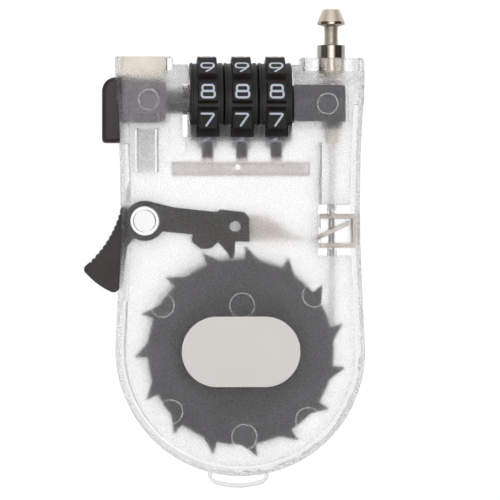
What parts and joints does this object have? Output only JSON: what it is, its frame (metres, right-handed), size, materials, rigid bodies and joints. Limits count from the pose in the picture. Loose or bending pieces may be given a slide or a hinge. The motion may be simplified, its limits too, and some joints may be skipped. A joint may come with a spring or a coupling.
{
  "type": "combination cable lock",
  "caption": "Pocket lock in a clear case: number dials, a side release button and a thumb lever free a sprung-reel steel cable whose end bolt snaps into the top.",
  "frame": {"origin": "on the flat back face of the case, on the axis of the cable reel", "axes": "+X across the case towards the cable bolt's side, +Y from the reel up to the dials, +Z out of the front face; the lock lies on its back"},
  "size_m": [0.0473, 0.0812, 0.0158],
  "materials": {
    "clear_case": "clear, spark-frosted inside",
    "cream_nylon": "smooth moulded",
    "milky_nylon": "translucent moulded",
    "black_nylon": "fine matt",
    "drum_nylon": "natural, moulded",
    "black_dial": "satin moulded",
    "black_button": "satin moulded",
    "black_lever": "satin moulded",
    "code_brass": "turned",
    "spring_steel": "bright rolled",
    "clamp_steel": "rolled, nickel tone",
    "tongue_steel": "rolled",
    "rivet_steel": "headed",
    "satin_plate": "satin",
    "cable_steel": "stranded",
    "nickel": "polished nickel"
  },
  "bodies": {
    "case": {"front_shell": "clear_case", "rear_shell": "clear_case", "socket_ferrule": "cream_nylon", "outlet_ferrule": "milky_nylon", "end_block": "black_nylon", "detent_spring": "spring_steel", "clamp_bracket": "clamp_steel", "label_plate": "satin_plate", "button_spring": "spring_steel", "eject_spring": "spring_steel", "lever_spring": "spring_steel"},
    "dial_1": {"dial_1": "black_dial", "code_sleeve_1": "code_brass"},
    "dial_2": {"dial_2": "black_dial", "code_sleeve_2": "code_brass"},
    "dial_3": {"dial_3": "black_dial", "code_sleeve_3": "code_brass"},
    "button": {"release_button": "black_button", "latch_slider": "black_nylon", "spindle": "black_nylon"},
    "lever": {"thumb_lever": "black_lever", "release_tongue": "tongue_steel", "tongue_rivet": "rivet_steel"},
    "clamp": {"clamp_blade": "clamp_steel"},
    "reel": {"ratchet_wheel": "black_nylon", "cable_drum": "drum_nylon", "drive_spring": "spring_steel", "cable_coil": "cable_steel"},
    "bolt": {"cable_bolt": "nickel", "cable_run": "cable_steel"},
    "plunger": {"eject_plunger": "drum_nylon"}
  },
  "joints": [
    {"name": "dial_1_turn", "type": "hinge", "parent": "case", "child": "dial_1", "pos_m": [-0.00568, 0.04205, 0.0068], "axis": [1, 0, 0], "continuous": true},
    {"name": "dial_2_turn", "type": "hinge", "parent": "case", "child": "dial_2", "pos_m": [0.0001, 0.04205, 0.0068], "axis": [1, 0, 0], "continuous": true},
    {"name": "dial_3_turn", "type": "hinge", "parent": "case", "child": "dial_3", "pos_m": [0.00588, 0.04205, 0.0068], "axis": [1, 0, 0], "continuous": true},
    {"name": "button_push", "type": "slide", "parent": "case", "child": "button", "axis": [1, 0, 0], "range_m": [0, 0.002], "stiffness_N_per_m": 400, "springref_m": -0.002, "deforming": ["button_spring"]},
    {"name": "lever_press", "type": "hinge", "parent": "case", "child": "lever", "pos_m": [-0.0161, 0.022, 0.0068], "axis": [0, 0, 1], "range_deg": [0, 8], "stiffness_Nm_per_rad": 0.12, "springref_deg": -8.59},
    {"name": "clamp_tilt", "type": "hinge", "parent": "case", "child": "clamp", "pos_m": [0.0184, 0.02166, 0.0068], "axis": [0, 0, -1], "range_deg": [0, 10]},
    {"name": "bolt_pull", "type": "slide", "parent": "case", "child": "bolt", "axis": [0, 1, 0], "range_m": [0, 0.75]},
    {"name": "reel_turn", "type": "hinge", "parent": "case", "child": "reel", "pos_m": [0, 0, 0.0068], "axis": [0, 0, 1], "range_deg": [0, 2800]},
    {"name": "eject_push", "type": "slide", "parent": "case", "child": "plunger", "axis": [0, -1, 0], "range_m": [0, 0.003], "stiffness_N_per_m": 120, "springref_m": -0.003, "deforming": ["eject_spring"]}
  ],
  "couplings": [
    {"joint": "reel_turn", "follows": "bolt_pull", "rad_per_m": 64.267},
    {"joint": "clamp_tilt", "follows": "lever_press", "ratio": 1.25}
  ]
}
